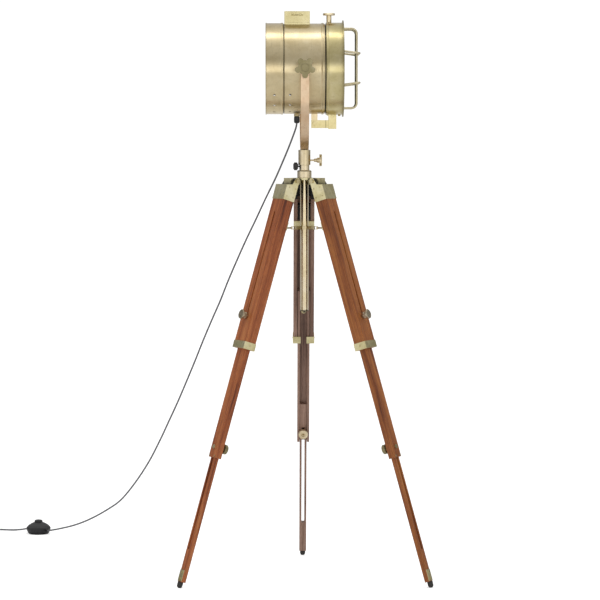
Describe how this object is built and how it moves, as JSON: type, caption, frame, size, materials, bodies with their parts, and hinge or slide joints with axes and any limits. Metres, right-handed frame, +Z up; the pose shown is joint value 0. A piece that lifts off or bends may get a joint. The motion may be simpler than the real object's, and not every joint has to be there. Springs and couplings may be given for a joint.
{
  "type": "tripod floor lamp",
  "caption": "Tripod floor lamp with telescopic wooden legs, sliding brass column and a round caged spot head in a tilting yoke; lead with foot switch.",
  "frame": {"origin": "on the floor at the middle of the footprint box of the three feet and the head", "axes": "+Z up, +X the way the head points, +Y towards the rear leg"},
  "size_m": [1.4759, 1.1742, 1.6469],
  "materials": {
    "wood": "satin",
    "brass": "satin",
    "copper_brass": "satin",
    "steel": "satin",
    "reflector_metal": "gloss",
    "black_plastic": "matte",
    "rubber": "matte",
    "opal_glass": "matte",
    "clear_glass": "gloss",
    "cord_sleeve": "matte"
  },
  "bodies": {
    "stand": {"crown": "brass", "leg_bolts": "steel", "collar": "brass", "cord_tube": "cord_sleeve", "cord_coil": "cord_sleeve", "switch_body": "black_plastic", "plug": "black_plastic"},
    "hub": {"hub": "brass"},
    "column": {"column": "brass"},
    "lock": {"lock_knob": "black_plastic"},
    "yoke": {"socket": "brass", "yoke": "copper_brass"},
    "pan_knob": {"pan_screw": "brass"},
    "head": {"drum": "brass", "vent_box": "brass", "reflector": "reflector_metal", "lampholder": "black_plastic", "bulb": "opal_glass", "gland": "black_plastic", "tilt_studs": "steel"},
    "tilt_near": {"tilt_knob_near": "brass"},
    "tilt_far": {"tilt_knob_far": "brass"},
    "door": {"front_ring": "brass", "guard": "brass", "glass": "clear_glass"},
    "latch": {"latch_screw": "brass"},
    "button": {"switch_button": "black_plastic"},
    "leg_1": {"upper_1": "wood", "cap_1": "brass", "band_1": "brass"},
    "link_1": {"link_1": "brass"},
    "middle_1": {"middle_1": "wood", "bolts_1": "steel"},
    "outer_knob_1": {"outer_knob_1": "brass"},
    "inner_knob_1": {"inner_knob_1": "brass"},
    "lower_1": {"lower_1": "wood", "plate_1": "brass", "foot_1": "rubber"},
    "leg_2": {"upper_2": "wood", "cap_2": "brass", "band_2": "brass"},
    "link_2": {"link_2": "brass"},
    "middle_2": {"middle_2": "wood", "bolts_2": "steel"},
    "outer_knob_2": {"outer_knob_2": "brass"},
    "inner_knob_2": {"inner_knob_2": "brass"},
    "lower_2": {"lower_2": "wood", "plate_2": "brass", "foot_2": "rubber"},
    "leg_3": {"upper_3": "wood", "cap_3": "brass", "band_3": "brass"},
    "link_3": {"link_3": "brass"},
    "middle_3": {"middle_3": "wood", "bolts_3": "steel"},
    "outer_knob_3": {"outer_knob_3": "brass"},
    "inner_knob_3": {"inner_knob_3": "brass"},
    "lower_3": {"lower_3": "wood", "plate_3": "brass", "foot_3": "rubber"}
  },
  "joints": [
    {"name": "leg_fold_1", "type": "hinge", "parent": "stand", "child": "leg_1", "pos_m": [0, -0.06145, 1.157], "axis": [-1, 0, 0], "range_deg": [0, 14]},
    {"name": "link_1_swing", "type": "hinge", "parent": "leg_1", "child": "link_1", "pos_m": [0, -0.0316, 1.02122], "axis": [-1, 0, 0], "range_deg": [-1, 67]},
    {"name": "middle_1_slide", "type": "slide", "parent": "leg_1", "child": "middle_1", "axis": [0, -0.2982, 0.9545], "range_m": [0, 0.22]},
    {"name": "lower_1_slide", "type": "slide", "parent": "middle_1", "child": "lower_1", "axis": [0, -0.2982, 0.9545], "range_m": [0, 0.28]},
    {"name": "outer_knob_1_turn", "type": "hinge", "parent": "middle_1", "child": "outer_knob_1", "pos_m": [0, 0.09034, 0.77174], "axis": [0, 0.9545, 0.2982], "continuous": true},
    {"name": "inner_knob_1_turn", "type": "hinge", "parent": "middle_1", "child": "inner_knob_1", "pos_m": [0, 0.16578, 0.38944], "axis": [0, -0.9545, -0.2982], "continuous": true},
    {"name": "leg_fold_2", "type": "hinge", "parent": "stand", "child": "leg_2", "pos_m": [-0.03637, -0.12445, 1.157], "axis": [0.5, -0.866, 0], "range_deg": [-0.5, 14.5]},
    {"name": "link_2_swing", "type": "hinge", "parent": "leg_2", "child": "link_2", "pos_m": [-0.06222, -0.13937, 1.02122], "axis": [0.5, -0.866, 0], "range_deg": [-1, 67]},
    {"name": "middle_2_slide", "type": "slide", "parent": "leg_2", "child": "middle_2", "axis": [0.2583, 0.1491, 0.9545], "range_m": [0, 0.22]},
    {"name": "lower_2_slide", "type": "slide", "parent": "middle_2", "child": "lower_2", "axis": [0.2583, 0.1491, 0.9545], "range_m": [0, 0.28]},
    {"name": "outer_knob_2_turn", "type": "hinge", "parent": "middle_2", "child": "outer_knob_2", "pos_m": [-0.16783, -0.20035, 0.77174], "axis": [-0.8266, -0.4773, 0.2982], "continuous": true},
    {"name": "inner_knob_2_turn", "type": "hinge", "parent": "middle_2", "child": "inner_knob_2", "pos_m": [-0.23316, -0.23807, 0.38944], "axis": [0.8266, 0.4773, -0.2982], "continuous": true},
    {"name": "leg_fold_3", "type": "hinge", "parent": "stand", "child": "leg_3", "pos_m": [0.03637, -0.12445, 1.157], "axis": [0.5, 0.866, 0], "range_deg": [-0.5, 14.5]},
    {"name": "link_3_swing", "type": "hinge", "parent": "leg_3", "child": "link_3", "pos_m": [0.06222, -0.13937, 1.02122], "axis": [0.5, 0.866, 0], "range_deg": [-1, 67]},
    {"name": "middle_3_slide", "type": "slide", "parent": "leg_3", "child": "middle_3", "axis": [-0.2583, 0.1491, 0.9545], "range_m": [0, 0.22]},
    {"name": "lower_3_slide", "type": "slide", "parent": "middle_3", "child": "lower_3", "axis": [-0.2583, 0.1491, 0.9545], "range_m": [0, 0.28]},
    {"name": "outer_knob_3_turn", "type": "hinge", "parent": "middle_3", "child": "outer_knob_3", "pos_m": [0.16783, -0.20035, 0.77174], "axis": [0.8266, -0.4773, 0.2982], "continuous": true},
    {"name": "inner_knob_3_turn", "type": "hinge", "parent": "middle_3", "child": "inner_knob_3", "pos_m": [0.23316, -0.23807, 0.38944], "axis": [-0.8266, 0.4773, -0.2982], "continuous": true},
    {"name": "hub_slide", "type": "slide", "parent": "stand", "child": "hub", "axis": [0, 0, 1], "range_m": [-0.001, 0.0405]},
    {"name": "column_slide", "type": "slide", "parent": "stand", "child": "column", "axis": [0, 0, 1], "range_m": [0, 0.25], "deforming": ["cord_tube"]},
    {"name": "lock_turn", "type": "hinge", "parent": "stand", "child": "lock", "pos_m": [-0.02, -0.10345, 1.1993], "axis": [-1, 0, 0], "continuous": true},
    {"name": "pan_turn", "type": "hinge", "parent": "column", "child": "yoke", "pos_m": [0, -0.10345, 1.225], "axis": [0, 0, 1], "range_deg": [-90, 90]},
    {"name": "pan_knob_turn", "type": "hinge", "parent": "yoke", "child": "pan_knob", "pos_m": [0.03, -0.10345, 1.217], "axis": [1, 0, 0], "continuous": true},
    {"name": "tilt", "type": "hinge", "parent": "yoke", "child": "head", "pos_m": [0, -0.10345, 1.4817], "axis": [0, -1, 0], "range_deg": [-45, 60]},
    {"name": "tilt_knob_near_turn", "type": "hinge", "parent": "head", "child": "tilt_near", "pos_m": [0, -0.26345, 1.4817], "axis": [0, -1, 0], "continuous": true},
    {"name": "tilt_knob_far_turn", "type": "hinge", "parent": "head", "child": "tilt_far", "pos_m": [0, 0.05655, 1.4817], "axis": [0, 1, 0], "continuous": true},
    {"name": "door_swing", "type": "hinge", "parent": "head", "child": "door", "pos_m": [0.029, -0.10345, 1.3237], "axis": [0, 1, 0], "range_deg": [0, 90]},
    {"name": "latch_turn", "type": "hinge", "parent": "door", "child": "latch", "pos_m": [0.071, -0.10345, 1.628], "axis": [0, 0, 1], "continuous": true},
    {"name": "button_press", "type": "slide", "parent": "stand", "child": "button", "axis": [0, 0, -1], "range_m": [0, 0.003], "stiffness_N_per_m": 600, "springref_m": -0.002}
  ],
  "couplings": [
    {"joint": "link_1_swing", "follows": "leg_fold_1", "ratio": 4.6663},
    {"joint": "leg_fold_2", "follows": "leg_fold_1", "ratio": 1},
    {"joint": "link_2_swing", "follows": "leg_fold_1", "ratio": 4.6663},
    {"joint": "leg_fold_3", "follows": "leg_fold_1", "ratio": 1},
    {"joint": "link_3_swing", "follows": "leg_fold_1", "ratio": 4.6663},
    {"joint": "hub_slide", "follows": "leg_fold_1", "m_per_rad": 0.15847}
  ]
}
